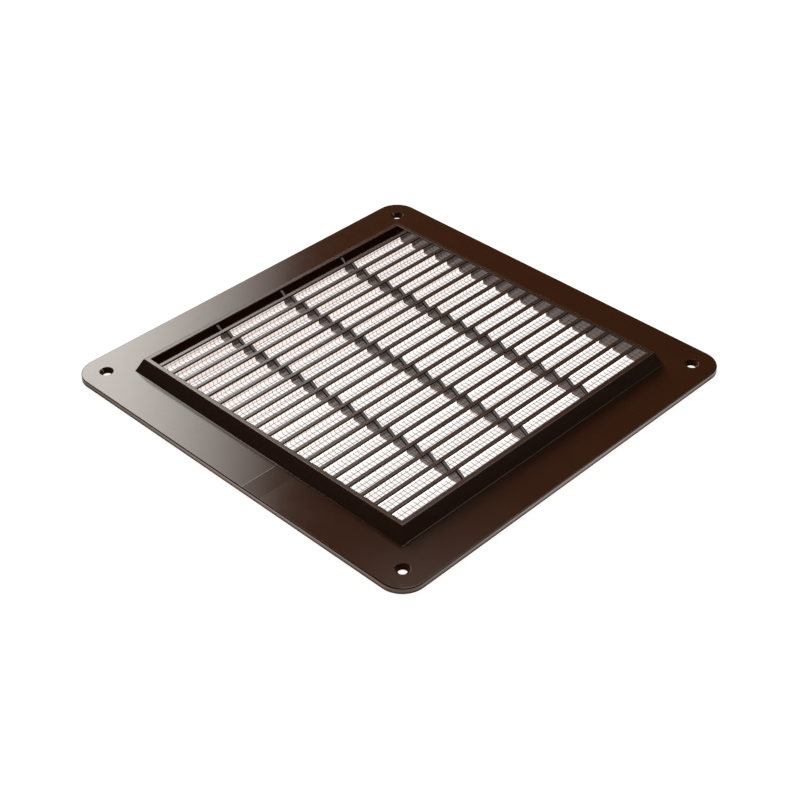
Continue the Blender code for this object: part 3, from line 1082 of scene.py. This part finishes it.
@dataclass
class Studio:
    """White floor and soft light in a dim room.

    A window stands behind on the left, with a panel of light above it on its right, and a
    softbox hangs on the right. Two cards fill the shadows and aren't mirrored. Under the
    object the floor is a light table, which the glossy plastic mirrors. An edge of the
    window, the panel or the table has the place where its light ends and the place where
    its light is full.
    """

    sizes: GrilleSizes
    floor_half: float = 3.0
    floor_drop: float = 0.1 * MM
    floor_colour: tuple[float, float, float] = (0.80, 0.79, 0.78)
    floor_glow: float = 0.97
    seen_colour: tuple[float, float, float] = (1.0, 0.985, 0.975)
    shaded_colour: tuple[float, float, float] = (0.12, 0.12, 0.12)
    table_colour: tuple[float, float, float] = (1.0, 0.87, 0.81)
    table_glow: float = 2.85
    table_fill: float = 0.7
    table_tint: float = 0.15
    table_full: float = 90.0 * MM
    table_edge: float = 100.0 * MM
    rest_glow: float = 3.0
    rest_centre: tuple[float, float] = (0.0, -20.0 * MM)
    rest_middle: float = 82.0 * MM
    rest_corner: float = 192.0 * MM
    rest_full: float = 106.0 * MM
    rest_edge: float = 125.0 * MM
    # Painted contact shadow along the skirt's foot: dark at the first reach, gone at the second.
    foot_shadow_dark: float = 100.2 * MM
    foot_shadow_light: float = 101.4 * MM
    # Painted shadow on the floor under the flange, with painted spots of light below the screw holes.
    under_flange: float = 84.0 * MM
    hole_shift: float = 0.2 * MM
    hole_spot: float = 1.95 * MM
    spot_blur: float = 0.3 * MM
    room: float = 0.015
    horizon: float = 0.06
    horizon_top: float = 20.0 * DEGREE
    horizon_full: float = 6.0 * DEGREE
    light_colour: tuple[float, float, float] = (1.0, 0.965, 0.915)
    window_strength: float = 9.0
    window_start: float = 49.0 * DEGREE
    window_full: float = 56.3 * DEGREE
    window_end_full: float = 92.0 * DEGREE
    window_end: float = 100.0 * DEGREE
    window_slant: float = 0.16
    window_middle: float = 33.0 * DEGREE
    window_bottom: float = 23.5 * DEGREE
    window_bottom_full: float = 29.5 * DEGREE
    window_top_full: float = 45.5 * DEGREE
    window_top: float = 51.5 * DEGREE
    panel_strength: float = 12.0
    panel_left: float = 48.5 * DEGREE
    panel_left_full: float = 45.0 * DEGREE
    panel_right_full: float = 36.0 * DEGREE
    panel_right: float = 28.0 * DEGREE
    panel_bottom: float = 41.0 * DEGREE
    panel_bottom_full: float = 54.0 * DEGREE
    panel_top_full: float = 62.0 * DEGREE
    panel_top: float = 66.0 * DEGREE
    softbox: SoftLight = SoftLight("front_softbox", 2.3, 0.5, (0.652, -0.347, 0.946), mirrored=True)
    back_card: SoftLight = SoftLight("back_card", 7.0, 0.22, (0.24, 0.32, 0.24), mirrored=False)
    front_card: SoftLight = SoftLight("front_card", 1.4, 0.2, (-0.30, -0.15, 0.30), mirrored=False)

    def floor(self) -> bpy.types.Object:
        """Makes the floor, which is white to the camera but for the object's shadow and a painted
        shadow under the flange, with painted spots of light below the screw holes.

        Returns:
            The floor object.
        """
        mesh = bpy.data.meshes.new("studio_floor")
        corners = np.column_stack([SQUARE * self.floor_half, np.full(4, -self.floor_drop)])
        mesh.from_pydata(corners.tolist(), [], [(0, 1, 2, 3)])
        material, nodes = new_material("pale_floor")
        material.node_tree.nodes.clear()
        path = nodes.add("ShaderNodeLightPath").outputs
        seen = nodes.math("MAXIMUM", path["Is Camera Ray"], path["Is Transmission Ray"])
        unseen = nodes.math("SUBTRACT", 1.0, seen)
        mirrored = path["Is Glossy Ray"]
        x, y, _ = nodes.axes(nodes.add("ShaderNodeTexCoord").outputs["Object"])
        reach = self._reach(nodes, x, y)
        covered = self._covered(nodes, x, y, reach)
        # Painted shadow: the camera sees the floor under the flange dark, except in the painted spots below
        # the screw holes.
        dark = nodes.product(covered, self._beside_spots(nodes, x, y))
        white = nodes.product(seen, nodes.math("SUBTRACT", 1.0, dark), self.floor_glow)
        lit = nodes.math("MULTIPLY_ADD", path["Is Diffuse Ray"], self.table_fill, mirrored)
        table = nodes.product(self._table(nodes, x, y, reach), nodes.math("SUBTRACT", 1.0, covered), lit)
        inside = nodes.product(nodes.ramp(reach, self.table_edge, self.table_full), self.table_tint)
        colour = nodes.tint(nodes.math("MAXIMUM", unseen, inside), self.seen_colour, self.table_colour)
        strength = nodes.math("ADD", white, table)
        glow = nodes.feed(nodes.add("ShaderNodeEmission"), Color=colour, Strength=strength)
        plain = nodes.feed(nodes.add("ShaderNodeBsdfDiffuse"), Color=(*self.floor_colour, 1.0))
        shaded = nodes.feed(nodes.add("ShaderNodeBsdfDiffuse"), Color=(*self.shaded_colour, 1.0))
        ground = nodes.blend(nodes.math("MAXIMUM", seen, mirrored), plain, shaded)
        surface = nodes.add("ShaderNodeAddShader")
        nodes.tree.links.new(ground, surface.inputs[0])
        nodes.tree.links.new(glow.outputs[0], surface.inputs[1])
        out = nodes.add("ShaderNodeOutputMaterial")
        nodes.tree.links.new(surface.outputs[0], out.inputs["Surface"])
        mesh.materials.append(material)
        floor = add_object("studio_floor", mesh)
        return floor

    def _reach(self, nodes: NodeBuilder, x: Socket, y: Socket) -> Socket:
        """Half width of the round-cornered square, concentric with the flange, that (x, y) lies on."""
        straight = self.sizes.side / 2 - self.sizes.corner_radius
        past_x = nodes.math("MAXIMUM", nodes.math("SUBTRACT", nodes.math("ABSOLUTE", x), straight), 0.0)
        past_y = nodes.math("MAXIMUM", nodes.math("SUBTRACT", nodes.math("ABSOLUTE", y), straight), 0.0)
        return nodes.math("ADD", self._length(nodes, past_x, past_y), straight)

    def _covered(self, nodes: NodeBuilder, x: Socket, y: Socket, reach: Socket) -> Socket:
        """Tells the floor under the flange, which no light reaches from above, where the floor's glow gives
        way to a painted shadow.

        Args:
            nodes: The floor's node builder.
            x: Place along X.
            y: Place along Y.
            reach: Half width of the square that the place lies on.

        Returns:
            1 under the flange and 0 elsewhere.
        """
        side = nodes.math("MAXIMUM", nodes.math("ABSOLUTE", x), nodes.math("ABSOLUTE", y))
        below = nodes.ramp(side, self.under_flange, self.under_flange + self.spot_blur)
        edge = self.sizes.side / 2 - self.spot_blur
        return nodes.product(below, nodes.ramp(reach, edge, edge - self.spot_blur))

    def _beside_spots(self, nodes: NodeBuilder, x: Socket, y: Socket) -> Socket:
        """Tells the places outside the four painted spots of light that fall through the screw holes."""
        off_x = nodes.math("ABSOLUTE", nodes.math("SUBTRACT", x, self.hole_shift))
        off_y = nodes.math("ABSOLUTE", nodes.math("SUBTRACT", y, self.hole_shift))
        off_x = nodes.math("SUBTRACT", off_x, self.sizes.hole_place)
        off_y = nodes.math("SUBTRACT", off_y, self.sizes.hole_place)
        return nodes.ramp(self._length(nodes, off_x, off_y), self.hole_spot, self.hole_spot + self.spot_blur)

    def _table(self, nodes: NodeBuilder, x: Socket, y: Socket, reach: Socket) -> Socket:
        """Level of the light table that glossy plastic mirrors: a lit square under the grille.

        The square is brightest where light falls through the louvres. The rest of the table
        grows dim towards its corners, and the strip along the skirt's foot carries a painted
        contact shadow.

        Args:
            nodes: The floor's node builder.
            x: Place along X.
            y: Place along Y.
            reach: Half width of the square that the place lies on.

        Returns:
            The level, with 1 as white.
        """
        inner = nodes.ramp(reach, self.table_edge, self.table_full, smooth=True)
        outer = nodes.ramp(reach, self.rest_edge, self.rest_full, smooth=True)
        off_x = nodes.math("SUBTRACT", x, self.rest_centre[0])
        off_y = nodes.math("SUBTRACT", y, self.rest_centre[1])
        fade = nodes.ramp(self._length(nodes, off_x, off_y), self.rest_corner, self.rest_middle)
        # Painted contact shadow: the table's glow fades out along the skirt's foot.
        foot = nodes.ramp(reach, self.foot_shadow_dark, self.foot_shadow_light)
        rest = nodes.product(fade, foot, outer, self.rest_glow, nodes.math("SUBTRACT", 1.0, inner))
        return nodes.math("MULTIPLY_ADD", inner, self.table_glow, rest)

    @staticmethod
    def _length(nodes: NodeBuilder, x: Socket, y: Socket) -> Socket:
        """Length of the flat vector (x, y)."""
        return nodes.math("SQRT", nodes.math("MULTIPLY_ADD", x, x, nodes.product(y, y)))

    def world(self) -> bpy.types.World:
        """Makes the studio's surroundings: a dim room, the window and the panel.

        A direction's azimuth is its angle from +X towards +Y. The room is lighter near the
        horizon, and the camera itself sees white.

        Returns:
            The world.
        """
        world = bpy.data.worlds.new("studio")
        world.use_nodes = True
        world.node_tree.nodes.clear()
        nodes = NodeBuilder(world.node_tree)
        x, y, z = nodes.axes(nodes.add("ShaderNodeTexCoord").outputs["Generated"])
        azimuth = nodes.math("ARCTAN2", y, x)
        elevation = nodes.math("ARCSINE", z)
        low = nodes.ramp(elevation, self.horizon_top, self.horizon_full)
        strength = nodes.math("MULTIPLY_ADD", low, self.horizon, self.room)
        window = self._window(nodes, azimuth, elevation)
        strength = nodes.math("MULTIPLY_ADD", window, self.window_strength, strength)
        panel = self._panel(nodes, azimuth, elevation)
        strength = nodes.math("MULTIPLY_ADD", panel, self.panel_strength, strength)
        light, white = nodes.add("ShaderNodeBackground"), nodes.add("ShaderNodeBackground")
        nodes.feed(light, Color=(*self.light_colour, 1.0), Strength=strength)
        nodes.feed(white, Color=(1.0, 1.0, 1.0, 1.0))
        camera_ray = nodes.add("ShaderNodeLightPath").outputs["Is Camera Ray"]
        out = nodes.add("ShaderNodeOutputWorld")
        nodes.tree.links.new(nodes.blend(camera_ray, light, white), out.inputs["Surface"])
        bpy.context.scene.world = world
        return world

    def _window(self, nodes: NodeBuilder, azimuth: Socket, elevation: Socket) -> Socket:
        """Shape of the window, whose near edge slants and brightens slowly.

        Args:
            nodes: The world's node builder.
            azimuth: Azimuth of the direction.
            elevation: Elevation of the direction.

        Returns:
            The window's part of the light, from 0 outside it to 1 inside.
        """
        slanted = nodes.math("MULTIPLY_ADD", elevation, -self.window_slant, azimuth)
        shift = self.window_slant * self.window_middle
        rise = nodes.ramp(slanted, self.window_start - shift, self.window_full - shift)
        end = nodes.ramp(azimuth, self.window_end, self.window_end_full)
        bottom = nodes.ramp(elevation, self.window_bottom, self.window_bottom_full)
        top = nodes.ramp(elevation, self.window_top, self.window_top_full)
        return nodes.product(rise, end, bottom, top)

    def _panel(self, nodes: NodeBuilder, azimuth: Socket, elevation: Socket) -> Socket:
        """Shape of the panel, whose light rises with the square of the height in it.

        Args:
            nodes: The world's node builder.
            azimuth: Azimuth of the direction.
            elevation: Elevation of the direction.

        Returns:
            The panel's part of the light, from 0 outside it to 1 inside.
        """
        left = nodes.ramp(azimuth, self.panel_left, self.panel_left_full)
        right = nodes.ramp(azimuth, self.panel_right, self.panel_right_full)
        bottom = nodes.ramp(elevation, self.panel_bottom, self.panel_bottom_full)
        top = nodes.ramp(elevation, self.panel_top, self.panel_top_full)
        return nodes.product(left, right, bottom, bottom, top)

    def build(self) -> None:
        """Makes the floor, the world and the lamps, and sets the plain view transform."""
        self.floor()
        self.world()
        for lamp in (self.softbox, self.back_card, self.front_card):
            lamp.build()
        bpy.context.scene.view_settings.view_transform = "Standard"


def main() -> None:
    """Builds the studio, the moulding and the net."""
    logging.basicConfig(level=logging.INFO, format="%(name)s: %(message)s")
    log.info("packed nodes: %s", ", ".join(frame["nodes"]))
    PhotoCamera().build()
    sizes = GrilleSizes()
    Studio(sizes).build()
    plastic = MouldedPlastic().build()
    polished = MouldedPlastic(name="polished_brown_plastic", roughness=0.03, raised_roughness=0.24).build()
    yarn = NetYarn().build()
    FrameRing(sizes).build(plastic)
    LouvreSlats(sizes).build(polished)
    CrossRibs(sizes).build(polished)
    HeatStakes(sizes).build(plastic)
    InsectNet(sizes).build(yarn)


if __name__ == "__main__":
    main()
